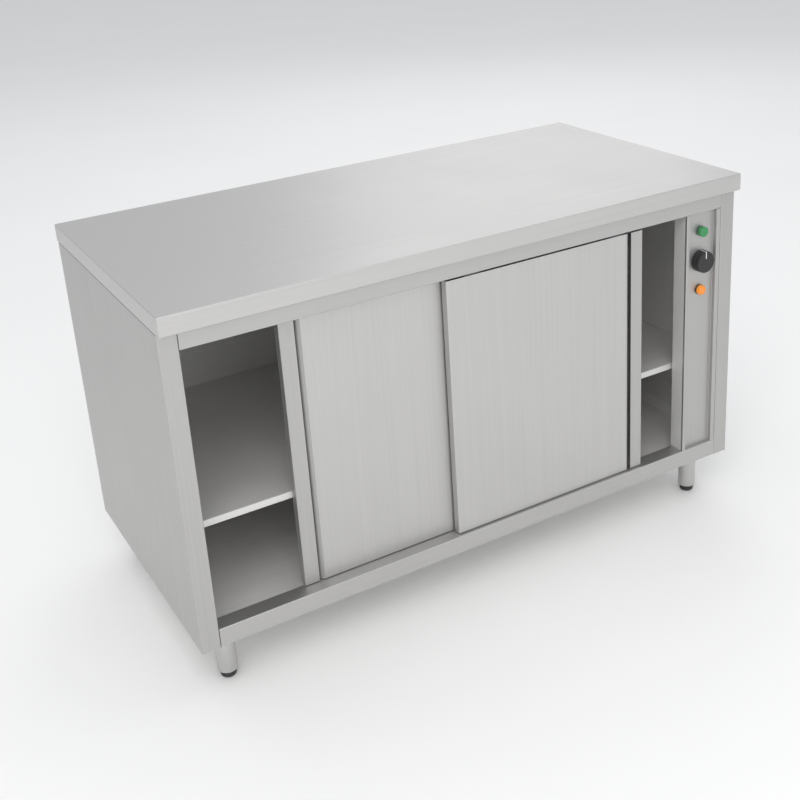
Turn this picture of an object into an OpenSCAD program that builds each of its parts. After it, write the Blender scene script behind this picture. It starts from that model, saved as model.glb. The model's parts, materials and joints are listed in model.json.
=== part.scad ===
// Free-standing heated cupboard for plates, with two sliding doors and a control column.
// The origin is on the floor under the middle of the worktop.
// X runs along the front to the right, Y runs to the back and Z runs up.

/* [Overall size] */
// Length of the worktop and of the cabinet under it
length = 1400; // [1200:10:1800]
// Depth of the worktop from its front edge to its back edge
depth = 700; // [600:10:800]
// Height of the worktop above the floor
height = 850; // [800:5:950]
// Height of the worktop's edge
worktop_h = 40; // [36:1:60]
// How far the worktop stands out in front of the cabinet
front_overhang = 20; // [14:1:40]
// How far the worktop stands out behind the cabinet
back_overhang = 10; // [10:1:40]
// Clear height under the cabinet
leg_h = 120; // [90:5:200]

/* [Sheet metal] */
// Thickness of the worktop's sheet
top_sheet = 1.5; // [1:0.1:2]
// Thickness of the rails, the shelf and the floor pan
sheet = 1.2; // [1:0.1:1.5]
// Thickness of the outer skins and the inner liners
skin = 1; // [0.8:0.1:1.5]

/* [Walls and frame] */
// Thickness of each side wall
side_t = 20; // [14:1:30]
// Thickness of the back wall
back_t = 10; // [8:1:30]
// Width of each front post
post_w = 40; // [34:1:60]
// Depth of the posts and of the ledge in front of the doors
frame_d = 40; // [36:1:42]
// Height of the top rail's front face
top_rail_h = 40; // [40:1:60]
// Height of the bottom rail's front face
bottom_rail_h = 42; // [38:1:60]
// Drop from the ledge to the cabinet's floor
floor_drop = 16; // [10:1:18]
// Height of the floor pan's turned-up edge
pan_edge_h = 33; // [15:1:60]
// Height of the hollow above the ceiling
ceiling_gap = 21; // [10:1:60]

/* [Worktop inside] */
// Thickness of the board under the worktop's sheet
board_t = 18; // [12:1:22]
// Width of each stiffening channel
channel_w = 40; // [25:1:80]
// Width of the worktop's return flange
return_w = 15; // [8:1:18]

/* [Doors] */
// Thickness of each door
door_t = 18; // [16:1:20]
// Gap between the front door and the rear door
door_space = 4; // [3:0.5:6]
// Distance from the frame's face to the front door's face
door_set = 9; // [7:0.5:11]
// Width of the left door, which runs on the rear track
left_door_w = 720; // [680:5:900]
// Width of the right door, which runs on the front track
right_door_w = 520; // [500:5:600]
// Width of the opening left of the left door at rest
left_open = 205.5; // [20:0.5:260]
// Width of the opening right of the right door at rest
right_open = 124.8; // [20:0.1:300]
// Gap between a door's top and the top rail
door_top_gap = 7; // [4:0.5:12]
// Gap between a door's bottom and the ledge
door_bottom_gap = 2; // [1:0.5:5]
// Width of the grip along the edge of a door
grip_w = 46; // [40:1:60]
// Width of the lip that the fingers pull
lip_w = 33; // [24:1:34]
// Width of the open slots in a door's top and bottom
slot_w = 6; // [5:0.5:7]

/* [Door gear] */
// Diameter of a door roller
roller_d = 16; // [12:1:18]
// Width of a door roller
roller_w = 5.5; // [4:0.5:6]
// Diameter of a roller's axle
axle_d = 4; // [3:0.5:6]
// Width of a hanger plate
hanger_w = 40; // [24:1:60]
// Thickness of a hanger plate
hanger_t = 3; // [2:0.5:4]
// Distance from a door's grip to its nearest hanger
hanger_gap = 2; // [0.5:0.5:60]
// Height of the door track
track_h = 30; // [26:1:36]
// Length of a bottom guide
guide_l = 20; // [10:1:40]

/* [Shelf] */
// Height of the shelf's top above the floor
shelf_z = 382; // [250:1:600]
// Height of the shelf's front edge
shelf_h = 15.5; // [12:0.5:40]
// Distance from the ledge's back edge to the shelf's front edge
shelf_set = 10; // [4:1:60]
// Height of the angles that carry the shelf
runner_h = 25; // [15:1:40]

/* [Control column] */
// Width of the control column
column_w = 104; // [90:1:160]
// Depth of the control column behind the frame's face
column_d = 44; // [40:1:46]
// Width of the column's left face strip
left_strip = 9.7; // [6:0.1:20]
// Width of the column's right face strip
right_strip = 13; // [6:0.5:25]
// How far the control panel lies behind the face strips
panel_set = 10; // [6:0.5:12]
// Distance from the top rail's underside to the thermostat knob's middle
knob_drop = 120; // [105:1:300]
// Distance from the knob to the button above and to the lamp below
control_pitch = 73; // [50:1:100]
// Diameter of the thermostat knob
knob_d = 53; // [40:1:60]
// How far the knob stands out from its panel
knob_out = 22; // [16:1:30]
// Diameter of the push button and of the pilot lamp
button_d = 24.5; // [20:0.5:30]
// How far the push button and the lamp stand out
button_out = 14; // [10:0.5:20]
// Travel of the push button
button_travel = 3; // [2:0.5:4]

/* [Heating] */
// Diameter of the heating element
element_d = 7; // [6:0.5:8]
// Distance between two runs of the heating element
element_pitch = 120; // [80:5:140]
// Thickness of the insulation under the floor
base_wool_t = 8; // [4:1:8]

/* [Legs] */
// Diameter of a leg tube
leg_d = 42.6; // [38:0.1:60]
// Wall of a leg tube
leg_wall = 1.5; // [1:0.1:3]
// Distance from the cabinet's side to a leg's middle
leg_in_x = 68; // [60:1:150]
// Distance from the cabinet's front or back to a leg's middle
leg_in_y = 66; // [60:1:150]
// Width of a leg's square plate
plate_w = 96; // [94:1:110]
// Thickness of a leg's plate
plate_t = 4; // [3:0.5:6]
// Distance between the bolts of a leg's plate
bolt_pitch = 74; // [72:1:78]
// Thread diameter of the leg bolts
bolt_d = 8; // [6:1:10]
// Diameter of a foot
foot_d = 34; // [28:1:40]
// Height of a foot under its insert
foot_h = 11.7; // [8:0.1:20]
// Height of the insert's visible cone
cone_h = 5; // [3:0.5:10]
// Diameter of a foot's threaded stem
stem_d = 10; // [8:1:12]
// Length of a foot's threaded stem
stem_l = 60; // [50:1:70]

/* [Hidden] */

// Number of sides that stands for a true circle
$fn = 48;
// Gap between two pieces of different bodies that nearly touch
clear = 0.3;
// Radial clearance of a shaft in its bore
fit = 0.05;
// Extra depth of a cut so that it passes through a face
cut = 1;

// Planes of the cabinet under the worktop
half = length / 2;
front = -depth / 2 + front_overhang;
back = depth / 2 - back_overhang;
bottom = leg_h;
top = height - worktop_h;
// Planes of the heated space
wall_x = half - side_t;
wall_y = back - back_t;
ledge_z = bottom + bottom_rail_h;
floor_z = ledge_z - floor_drop;
frame_y = front + frame_d;
rail_z = top - top_rail_h;
ceiling_z = top - ceiling_gap;
// Free space for the doors between the left post and the control column
post_x = half - post_w;
column_x = post_x - column_w;

// Doors
front_door_y = front + door_set;
rear_door_y = front_door_y + door_t + door_space;
door_z0 = ledge_z + door_bottom_gap;
door_z1 = rail_z - door_top_gap;
door_h = door_z1 - door_z0;
left_door_x = -post_x + left_open;
right_door_x = column_x - right_open - right_door_w;
// Depth of the wool and of the fingers' room inside a door
door_in = door_t - 2 * skin;
grip_depth = door_in - sheet;
// The slanted wall of a grip goes back one step for each step and a quarter sideways
grip_slant = 1.25;
guide_t = slot_w / 2;
guide_play = (slot_w - guide_t) / 2;
top_slot_y = (door_t - slot_w) / 2;
// Gap between the ledge's back edge and the rear door's guide
guide_gap = 1;
bottom_slot_y = max(top_slot_y, frame_y + guide_gap - guide_play - rear_door_y);
// Distance from either edge of a door to its nearest hanger's middle
hanger_in = grip_w + hanger_gap + hanger_w / 2;
// Hanger block inside a door and the free height above the block
block_h = 12;
block_drop = 28;
// Gap between the wool and the slanted wall of a grip
core_gap = 2;
// Clear height at a door's bottom for its guide
guide_room = 18;
// How far a guide's fin reaches up into its door
guide_up = 10;
// Height of a guide's foot
guide_foot = 8;

// Track, with one channel for each door
track_wall = 2;
track_z = top - sheet - track_h;
// Thickness of the lips that the rollers run on
track_lip_t = 1.8;
track_pitch = door_t + door_space;
track_front = front_door_y + door_t / 2 - track_pitch / 2 - track_wall / 2;
track_back = track_front + 2 * track_pitch + track_wall;
// Width of the slot for the hanger plates
track_slot = 9;
axle_z = track_z + track_lip_t + clear + roller_d / 2;
// Gap on each side of a wheel
wheel_gap = 0.5;
// Thickness of an axle's head
head_t = 0.8;
// Front edge of the ceiling, just behind the track
ceiling_y = track_back + 1;
// Where a bottom guide stays inside its door's slot
slot_end = 6;
front_guide_x = column_x - right_door_w + slot_end + guide_l / 2;
rear_guide_x = (column_x + grip_w - post_x) / 2;
front_guide_y = front_door_y + bottom_slot_y + guide_play;
rear_guide_y = rear_door_y + bottom_slot_y + guide_play;
// The front door's left end when its guide reaches the end of its slot, and the stop for that
front_door_min = front_guide_x + guide_l / 2 + grip_w + slot_end - right_door_w;
front_stop_x = front_door_min + hanger_in - hanger_w / 2 - clear;

// Control column
panel_y = front + panel_set;
column_back = front + column_d;
panel_x0 = column_x + left_strip;
panel_x1 = post_x - right_strip;
control_x = (panel_x0 + panel_x1) / 2;
// Diameter of the panel's holes
hole_d = 16;
knob_z = rail_z - knob_drop;
// Depth of the thermostat and of the other parts behind the panel
body_depth = column_back - panel_y - 2 * skin - 2;
small_depth = body_depth - 4;
small_d = button_d - 0.5;
thermostat_w = 44;
thermostat_h = 52;
spindle_d = 6;
// Length of the spindle behind the panel
spindle_in = 17;
// Gap behind the knob and the knob's wall in front of the spindle
knob_gap = 0.5;
knob_front = 3;
// Collar of the button and the cap that moves over it
collar_d = button_d - 4.5;
collar_out = button_out - button_travel - 4;
cap_wall = 1.8;
stem_w = 8;
// Length of the button's stem behind the panel and depth of its bore
stem_in = 10;
stem_room = stem_in + 5;
// Bezel of the pilot lamp and the bore for its lens
bezel_h = 4;
lens_bore_d = hole_d - 4;
lens_dome = 2;
// Sensor tube and bulb
bulb_tube_d = 2.5;
bulb_d = 6;
bulb_l = 90;
bulb_z = knob_z + thermostat_h / 4;
// Terminals at the bottom of the column, above the room for the cables' ends
terminal_up = 90;
terminal_z = ledge_z + terminal_up;
terminal_h = 30;
terminal_y = column_back - skin - 18;

// Base hollow between the wool and the floor pan
wool_top = bottom + skin + base_wool_t;
pan_under = floor_z - sheet;
hollow_z = (wool_top + pan_under) / 2;
element_z = hollow_z;
// Room beside the element's runs for its turns and its pins
element_end = 40;
// Half the length of the element's straight runs, and their places in pitches
element_x = column_x - element_end;
element_runs = [-1.5, -0.5, 0.5, 1.5];
pin_l = 12;
// Supply cable, its gland in the back wall and its way up into the column
gland_d = 12;
gland_nut_d = 2 * (pan_under - hollow_z) - 1;
gland_dome_d = 20;
gland_in = 8;
gland_x = control_x;
cable_d = gland_d - 4;
cable_up_y = front + frame_d / 2 + 4;
cable_bend = 12;
// Thin leads, and the distance from the cable to the one from the element
lead_d = 4;
lead_gap = 22;
lead_x = gland_x - lead_gap;

// Legs
leg_x = half - leg_in_x;
leg_places = [
  [-leg_x, front + leg_in_y],
  [leg_x, front + leg_in_y],
  [-leg_x, back - leg_in_y],
  [leg_x, back - leg_in_y]
];
plate_z = bottom - plate_t;
cone_z = foot_h + clear;
tube_z = cone_z + cone_h;
// Length of an insert inside its tube
insert_l = 30;
// Nuts and bolt heads
nut_h = 6.5;
nut_d = bolt_d * 1.7;
bolt_head_h = bolt_d * 0.65;
// Radial clearance of a bolt or a cable in its hole
hole_clear = 0.5;

// Shelf
shelf_y = frame_y + shelf_set;
shelf_gap = 0.5;
runner_w = 20;
runner_t = 1.5;
// Gap between the back runner and a side runner
runner_gap = 5;

// A block from one corner to the opposite corner
module block(a, b) {
  translate(a) cube(b - a);
}

// The same shape on the left and on the right
module both_sides() {
  children();
  mirror([1, 0, 0]) children();
}

// ---- Worktop ----
module worktop() {
  color("silver")
  difference() {
    block([-half, -depth / 2, top], [half, depth / 2, height]);
    block(
      [-half + top_sheet, -depth / 2 + top_sheet, top + top_sheet],
      [half - top_sheet, depth / 2 - top_sheet, height - top_sheet]
    );
    block(
      [-half + return_w, -depth / 2 + return_w, top - cut],
      [half - return_w, depth / 2 - return_w, top + top_sheet + cut]
    );
  }
}

module worktop_board() {
  color("burlywood")
  block(
    [-half + top_sheet, -depth / 2 + top_sheet, height - top_sheet - board_t],
    [half - top_sheet, depth / 2 - top_sheet, height - top_sheet]
  );
}

// Open channels under the board, carried by the side walls' top flanges
module worktop_channels() {
  color("gainsboro")
  for (y = [-depth / 5, depth / 5])
    difference() {
      block(
        [-half + return_w, y - channel_w / 2, top],
        [half - return_w, y + channel_w / 2, height - top_sheet - board_t]
      );
      block(
        [-half + return_w - cut, y - channel_w / 2 + top_sheet, top - cut],
        [
          half - return_w + cut,
          y + channel_w / 2 - top_sheet,
          height - top_sheet - board_t - top_sheet
        ]
      );
    }
}

// ---- Side walls ----
// One folded sheet: side, front post, back flange, top flange and bottom flange
module side_skin() {
  difference() {
    union() {
      block([-half, front, bottom], [-half + skin, back, top]);
      block([-half, front, bottom], [-post_x, front + skin, top]);
      block([-post_x - skin, front, bottom], [-post_x, frame_y, top]);
      block([-wall_x - skin, frame_y - skin, bottom], [-post_x, frame_y, top]);
      block([-half, back - skin, bottom], [-wall_x, back, top]);
      for (z = [bottom, top - skin]) {
        block([-half, front, z], [-wall_x, back, z + skin]);
        block([-half, front, z], [-post_x, frame_y, z + skin]);
      }
    }
    bolt_holes(bottom - cut, bottom + skin + cut);
  }
}

module side_skin_left() {
  color("silver") side_skin();
}

module side_skin_right() {
  color("silver") mirror([1, 0, 0]) side_skin();
}

module side_liner() {
  block(
    [-wall_x - skin, frame_y, bottom + skin],
    [-wall_x, wall_y + skin, top - skin]
  );
}

module side_liner_left() {
  color("lightgray") side_liner();
}

module side_liner_right() {
  color("lightgray") mirror([1, 0, 0]) side_liner();
}

module side_insulation() {
  color("khaki")
  both_sides()
    block(
      [-half + skin, frame_y, bottom + skin],
      [-wall_x - skin, back - skin, top - skin]
    );
}

// ---- Back wall ----
module gland_hole(d) {
  translate([gland_x, back + cut, hollow_z]) rotate([90, 0, 0]) cylinder(d = d, h = back_t + 2 * cut);
}

module back_skin() {
  color("silver")
  difference() {
    union() {
      block([-wall_x, back - skin, bottom], [wall_x, back, top]);
      for (z = [bottom, top - skin])
        block([-wall_x, wall_y, z], [wall_x, back, z + skin]);
    }
    gland_hole(gland_d + 2 * hole_clear);
  }
}

module back_liner() {
  color("lightgray")
  difference() {
    block([-wall_x, wall_y, bottom + skin], [wall_x, wall_y + skin, top - skin]);
    gland_hole(gland_d + 2 * hole_clear);
  }
}

module back_insulation() {
  color("khaki")
  difference() {
    block([-wall_x, wall_y + skin, bottom + skin], [wall_x, back - skin, top - skin]);
    gland_hole(gland_d + 2 * hole_clear);
  }
}

// ---- Front rails ----
module top_rail() {
  lip = 6;
  color("silver") {
    block([-post_x, front, rail_z], [post_x, front + sheet, top]);
    block([-post_x, front, rail_z], [post_x, front + lip, rail_z + sheet]);
    block([-post_x, front, top - sheet], [post_x, ceiling_y + skin, top]);
  }
}

module bottom_rail() {
  lip = 15;
  color("silver")
  difference() {
    union() {
      block([-post_x, front, bottom], [post_x, front + sheet, ledge_z]);
      block([-post_x, front, ledge_z - sheet], [post_x, frame_y, ledge_z]);
      block([-post_x, frame_y - sheet, bottom + skin], [post_x, frame_y, ledge_z]);
      block([-post_x, front, bottom], [post_x, front + lip, bottom + skin]);
    }
    // Slot for the front door's guide
    block(
      [front_guide_x - guide_l / 2 - clear, front_guide_y - clear, ledge_z - 2 * sheet],
      [front_guide_x + guide_l / 2 + clear, front_guide_y + guide_t + clear, ledge_z + cut]
    );
    cable_holes();
  }
}

// ---- Door track and bottom guides ----
module door_track() {
  color("gainsboro")
  translate([-post_x, 0, 0])
  rotate([90, 0, 90])
  linear_extrude(height = column_x + post_x)
  difference() {
    translate([track_front, track_z]) square([track_back - track_front, track_h]);
    for (i = [0, 1]) {
      y = track_front + track_wall + i * track_pitch;
      translate([y, track_z + track_lip_t])
        square([track_pitch - track_wall, track_h - track_lip_t - track_wall]);
      translate([y + (track_pitch - track_wall - track_slot) / 2, track_z - cut])
        square([track_slot, track_lip_t + 2 * cut]);
    }
  }
}

function channel_y(i) = track_front + track_wall / 2 + (i + 0.5) * track_pitch;

// Rubber block in a channel of the track, which a hanger runs against
module track_stop(i, x0, x1) {
  w = track_pitch - track_wall - 2 * wheel_gap;
  block(
    [x0, channel_y(i) - w / 2, track_z + track_lip_t],
    [x1, channel_y(i) + w / 2, axle_z + roller_d / 2]
  );
}

module track_stops() {
  reach = hanger_in - hanger_w / 2 - clear;
  color("dimgray") {
    track_stop(1, -post_x, -post_x + reach);
    track_stop(1, column_x - reach, column_x);
    track_stop(0, column_x - reach, column_x);
    track_stop(0, front_stop_x - guide_l, front_stop_x);
  }
}

module door_guides() {
  color("whitesmoke") {
    // Under the ledge, with its fin up through the ledge's slot
    block(
      [front_guide_x - guide_l, front + sheet, ledge_z - sheet - guide_foot],
      [front_guide_x + guide_l, frame_y - sheet, ledge_z - sheet]
    );
    block(
      [front_guide_x - guide_l / 2, front_guide_y, ledge_z - sheet],
      [front_guide_x + guide_l / 2, front_guide_y + guide_t, door_z0 + guide_up]
    );
    // On the cabinet's floor, against the ledge's back face
    block(
      [rear_guide_x - guide_l, frame_y, floor_z],
      [rear_guide_x + guide_l, rear_guide_y + guide_t, floor_z + guide_foot]
    );
    block(
      [rear_guide_x - guide_l / 2, rear_guide_y, floor_z],
      [rear_guide_x + guide_l / 2, rear_guide_y + guide_t, door_z0 + guide_up]
    );
  }
}

// ---- Ceiling ----
module ceiling_liner() {
  color("lightgray") {
    block([-wall_x, ceiling_y, ceiling_z], [wall_x, wall_y, ceiling_z + skin]);
    block([-wall_x, ceiling_y, ceiling_z], [wall_x, ceiling_y + skin, top - sheet]);
  }
}

module ceiling_insulation() {
  color("khaki")
  block(
    [-wall_x, ceiling_y + skin, ceiling_z + skin],
    [wall_x, wall_y, top - skin]
  );
}

// ---- Floor ----
module floor_pan() {
  color("lightgray") {
    block([-wall_x, frame_y, pan_under], [wall_x, wall_y, floor_z]);
    both_sides()
      block([-wall_x, frame_y, pan_under], [-wall_x + sheet, wall_y, floor_z + pan_edge_h]);
    block([-wall_x, wall_y - sheet, pan_under], [wall_x, wall_y, floor_z + pan_edge_h]);
  }
}

// Wool under the floor, cut back at each leg
module base_insulation() {
  wool_gap = 5;
  room = bolt_pitch + nut_d + 2 * wool_gap;
  color("khaki")
  difference() {
    block([-wall_x, frame_y, bottom + skin], [wall_x, wall_y, wool_top]);
    for (p = leg_places)
      block(
        [p[0] - room / 2, p[1] - room / 2, bottom],
        [p[0] + room / 2, p[1] + room / 2, wool_top + cut]
      );
  }
}

module bolt_holes(z0, z1) {
  for (p = leg_places)
    for (x = [-bolt_pitch / 2, bolt_pitch / 2])
      for (y = [-bolt_pitch / 2, bolt_pitch / 2])
        translate([p[0] + x, p[1] + y, z0]) cylinder(d = bolt_d + 2 * hole_clear, h = z1 - z0);
}

module base_skin() {
  lip = 15;
  color("silver")
  difference() {
    union() {
      block([-wall_x, frame_y, bottom], [wall_x, wall_y, bottom + skin]);
      block([-post_x, front + lip, bottom], [post_x, frame_y, bottom + skin]);
    }
    bolt_holes(bottom - cut, bottom + skin + cut);
  }
}

// ---- Heating ----
module element_run(i) {
  translate([-element_x, element_runs[i] * element_pitch, element_z])
    rotate([0, 90, 0]) cylinder(d = element_d, h = 2 * element_x);
}

// Half turn that joins two neighbouring runs at one end
module element_turn(y, side) {
  translate([side * element_x, y, element_z])
    rotate([0, 0, side > 0 ? -90 : 90])
    rotate_extrude(angle = 180)
    translate([element_pitch / 2, 0]) circle(d = element_d);
}

module heating_element() {
  color("dimgray") {
    for (i = [0 : len(element_runs) - 1])
      element_run(i);
    element_turn(-element_pitch, -1);
    element_turn(0, 1);
    element_turn(element_pitch, -1);
    for (y = [element_runs[0], element_runs[3]])
      translate([element_x, y * element_pitch, element_z])
        rotate([0, 90, 0]) cylinder(d = element_d / 2, h = pin_l);
  }
}

// Saddles on the underside of the floor pan, with the element through them
module element_clips() {
  clip_l = 16;
  clip_w = element_d + 8;
  clip_wall = 1;
  clip_places = [-0.75, 0, 0.75];
  color("gainsboro")
  for (x = clip_places)
    for (y = element_runs)
      translate([x * element_x, y * element_pitch, 0])
      difference() {
        block(
          [-clip_l / 2, -clip_w / 2, element_z - element_d / 2 - clip_wall],
          [clip_l / 2, clip_w / 2, pan_under]
        );
        translate([-clip_l, 0, element_z])
          rotate([0, 90, 0]) cylinder(d = element_d + 2 * clear, h = 2 * clip_l);
      }
}

// ---- Shelf ----
// Sheet with its edges turned down and in, and two stiffening hats under it
module shelf() {
  hem = 12;
  hat_w = 50;
  x = wall_x - shelf_gap;
  y1 = wall_y - shelf_gap;
  color("lightgray") {
    difference() {
      block([-x, shelf_y, shelf_z - shelf_h], [x, y1, shelf_z]);
      block(
        [-x + sheet, shelf_y + sheet, shelf_z - shelf_h + sheet],
        [x - sheet, y1 - sheet, shelf_z - sheet]
      );
      block(
        [-x + hem, shelf_y + hem, shelf_z - shelf_h - cut],
        [x - hem, y1 - hem, shelf_z - shelf_h + 2 * sheet]
      );
    }
    for (y = [shelf_y + (y1 - shelf_y) / 3, shelf_y + (y1 - shelf_y) * 2 / 3])
      difference() {
        block(
          [-x + sheet, y - hat_w / 2, shelf_z - shelf_h + sheet],
          [x - sheet, y + hat_w / 2, shelf_z - sheet]
        );
        block(
          [-x, y - hat_w / 2 + sheet, shelf_z - shelf_h + 2 * sheet],
          [x, y + hat_w / 2 - sheet, shelf_z]
        );
      }
  }
}

module shelf_runners() {
  z = shelf_z - shelf_h;
  back_x = wall_x - runner_w - runner_gap;
  color("gainsboro") {
    both_sides() {
      block([-wall_x, shelf_y, z - runner_t], [-wall_x + runner_w, wall_y - runner_w, z]);
      block([-wall_x, shelf_y, z - runner_h], [-wall_x + runner_t, wall_y - runner_w, z]);
    }
    block([-back_x, wall_y - runner_w, z - runner_t], [back_x, wall_y, z]);
    block([-back_x, wall_y - runner_t, z - runner_h], [back_x, wall_y, z]);
  }
}

// ---- Control column ----
// Box that is open at the front, with holes for the cables and the sensor
module control_housing() {
  color("silver")
  difference() {
    block([column_x, front + skin, ledge_z], [post_x, column_back, rail_z]);
    block([column_x + skin, front, ledge_z - cut], [post_x - skin, panel_y + skin, rail_z + cut]);
    block(
      [column_x + skin, front, ledge_z + skin],
      [post_x - skin, column_back - skin, rail_z - skin]
    );
    cable_holes();
    translate([control_x, column_back + cut, bulb_z])
      rotate([90, 0, 0]) cylinder(d = bulb_tube_d + 2 * hole_clear, h = skin + 2 * cut);
  }
}

// Face strips at the front and the set-back panel, folded from one sheet
module control_fascia() {
  color("silver")
  difference() {
    translate([0, 0, ledge_z])
    linear_extrude(height = rail_z - ledge_z)
    union() {
      translate([column_x, front]) square([left_strip, skin]);
      translate([panel_x0 - skin, front]) square([skin, panel_set + skin]);
      translate([panel_x0 - skin, panel_y]) square([panel_x1 - panel_x0 + 2 * skin, skin]);
      translate([panel_x1, front]) square([skin, panel_set + skin]);
      translate([panel_x1, front]) square([right_strip, skin]);
    }
    for (z = [knob_z, knob_z + control_pitch, knob_z - control_pitch])
      translate([control_x, panel_y + skin + cut, z])
        rotate([90, 0, 0]) cylinder(d = hole_d + 2 * hole_clear, h = skin + 2 * cut);
  }
}

// A round piece that stands out to the front from the plane y
module forward(y, z, d, h) {
  translate([control_x, y, z]) rotate([90, 0, 0]) cylinder(d = d, h = h);
}

module thermostat_body() {
  y0 = panel_y + skin;
  color("ivory")
  difference() {
    union() {
      block(
        [control_x - thermostat_w / 2, y0, knob_z - thermostat_h / 2],
        [control_x + thermostat_w / 2, y0 + body_depth, knob_z + thermostat_h / 2]
      );
      forward(y0, knob_z, hole_d, skin);
    }
    forward(y0 + spindle_in + clear, knob_z, spindle_d + 2 * fit, spindle_in + clear + skin + cut);
  }
}

module thermostat_spindle() {
  color("silver")
  forward(panel_y + skin + spindle_in, knob_z, spindle_d, spindle_in + skin + knob_out - knob_front);
}

// Sensor: a thin tube out of the thermostat's back and a bulb in the heated space
module thermostat_bulb() {
  y0 = panel_y + skin + body_depth;
  y1 = column_back + clear + bulb_d / 2;
  color("peru") {
    translate([control_x, y1, bulb_z]) rotate([90, 0, 0]) cylinder(d = bulb_tube_d, h = y1 - y0);
    translate([control_x, y1, bulb_z - bulb_l]) cylinder(d = bulb_d, h = bulb_l + bulb_tube_d);
  }
}

// Round knob with a blind bore for the spindle
module thermostat_knob() {
  y0 = panel_y - knob_gap;
  chamfer = 2;
  body_l = knob_out - knob_gap;
  color("black")
  difference() {
    translate([control_x, y0, knob_z])
    rotate([90, 0, 0])
    union() {
      cylinder(d = knob_d, h = body_l - chamfer);
      translate([0, 0, body_l - chamfer]) cylinder(d1 = knob_d, d2 = knob_d - 2 * chamfer, h = chamfer);
    }
    forward(y0 + cut, knob_z, spindle_d, body_l - knob_front + cut);
  }
}

module button_housing() {
  z = knob_z + control_pitch;
  y0 = panel_y + skin;
  color("dimgray")
  difference() {
    union() {
      forward(y0 + small_depth, z, small_d, small_depth);
      forward(y0, z, hole_d, skin);
      forward(panel_y, z, collar_d, collar_out);
    }
    forward(y0 + stem_room, z, stem_w + 2 * fit, stem_room + skin + collar_out + cut);
  }
}

// Cup-shaped cap on a stem, which moves back over the collar
module power_button() {
  z = knob_z + control_pitch;
  rim_y = panel_y - button_travel - clear;
  front_y = panel_y - button_out;
  color("green")
  union() {
    difference() {
      forward(rim_y, z, button_d, rim_y - front_y);
      forward(rim_y + cut, z, collar_d + 2 * clear, rim_y - front_y - cap_wall + cut);
    }
    forward(panel_y + skin + stem_in, z, stem_w, stem_in + skin + button_out - cap_wall / 2);
  }
}

module lamp_holder() {
  z = knob_z - control_pitch;
  y0 = panel_y + skin;
  color("dimgray")
  difference() {
    union() {
      forward(y0 + small_depth, z, small_d, small_depth);
      forward(y0, z, hole_d, skin);
      forward(panel_y, z, button_d, bezel_h);
    }
    forward(y0 + lens_dome, z, lens_bore_d, lens_dome + skin + bezel_h + cut);
  }
}

module lamp_lens() {
  z = knob_z - control_pitch;
  lens_h = button_out - bezel_h - lens_dome;
  color("orange")
  translate([control_x, panel_y - bezel_h, z])
  rotate([90, 0, 0])
  union() {
    cylinder(d = button_d, h = lens_h);
    translate([0, 0, lens_h]) cylinder(d1 = button_d, d2 = button_d - 2 * lens_dome, h = lens_dome);
    translate([0, 0, -bezel_h]) cylinder(d = lens_bore_d - 2 * clear, h = bezel_h);
  }
}

module terminal_block() {
  poles = 5;
  pole_w = 12;
  screw_d = 6;
  screw_l = 10;
  color("ivory")
  difference() {
    block(
      [control_x - poles * pole_w / 2, terminal_y, terminal_z],
      [control_x + poles * pole_w / 2, column_back - skin, terminal_z + terminal_h]
    );
    for (i = [0 : poles - 1])
      translate([
        control_x + (i - (poles - 1) / 2) * pole_w,
        terminal_y + screw_l,
        terminal_z + terminal_h - screw_d
      ])
        rotate([90, 0, 0]) cylinder(d = screw_d, h = screw_l + cut);
  }
}

// Path of a cable: forward in the base hollow, round a bend in the bottom rail and up
module cable_route(d, x, y0, z1) {
  translate([x, y0, hollow_z]) rotate([90, 0, 0]) cylinder(d = d, h = y0 - cable_up_y - cable_bend);
  translate([x, cable_up_y + cable_bend, hollow_z + cable_bend])
    rotate([180, 90, 0])
    rotate_extrude(angle = 90) translate([cable_bend, 0]) circle(d = d);
  translate([x, cable_up_y, hollow_z + cable_bend]) cylinder(d = d, h = z1 - hollow_z - cable_bend);
}

// Holes for both cables in the bottom rail and in the column's bottom
module cable_holes() {
  cable_route(cable_d + 2 * hole_clear, gland_x, frame_y + cut, ledge_z + 2 * skin);
  cable_route(lead_d + 2 * hole_clear, lead_x, frame_y + cut, ledge_z + 2 * skin);
}

module internal_cables() {
  ends = [element_runs[0] * element_pitch, element_runs[3] * element_pitch];
  control_leads = [
    [terminal_z + terminal_h, knob_z - control_pitch - small_d / 2],
    [knob_z - control_pitch + small_d / 2, knob_z - thermostat_h / 2],
    [knob_z + thermostat_h / 2, knob_z + control_pitch - small_d / 2]
  ];
  color("gray") {
    cable_route(cable_d, gland_x, wall_y - gland_in - clear, terminal_z);
    cable_route(lead_d, lead_x, ends[1], terminal_z);
    // Leads from the terminals up through the lamp and the thermostat to the button
    for (z = control_leads)
      translate([control_x, cable_up_y, z[0]]) cylinder(d = lead_d, h = z[1] - z[0]);
    // Short leads from the element's two pins
    for (y = ends)
      translate([element_x + pin_l, y, element_z]) {
        rotate([0, 90, 0]) cylinder(d = lead_d, h = lead_x - element_x - pin_l);
        translate([lead_x - element_x - pin_l, 0, 0]) sphere(d = lead_d);
      }
  }
}

// Gland with a free bore for the supply cord
module cable_gland() {
  nut_l = gland_in - 2;
  dome_l = back_overhang - 1;
  color("dimgray")
  difference() {
    union() {
      translate([gland_x, back + dome_l, hollow_z])
        rotate([90, 0, 0]) cylinder(d = gland_dome_d, h = dome_l, $fn = 6);
      translate([gland_x, back, hollow_z])
        rotate([90, 0, 0]) cylinder(d = gland_d, h = back_t + gland_in);
      translate([gland_x, wall_y, hollow_z])
        rotate([90, 0, 0]) cylinder(d = gland_nut_d, h = nut_l, $fn = 6);
    }
    translate([gland_x, back + back_overhang, hollow_z])
      rotate([90, 0, 0]) cylinder(d = cable_d, h = depth);
  }
}

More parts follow.
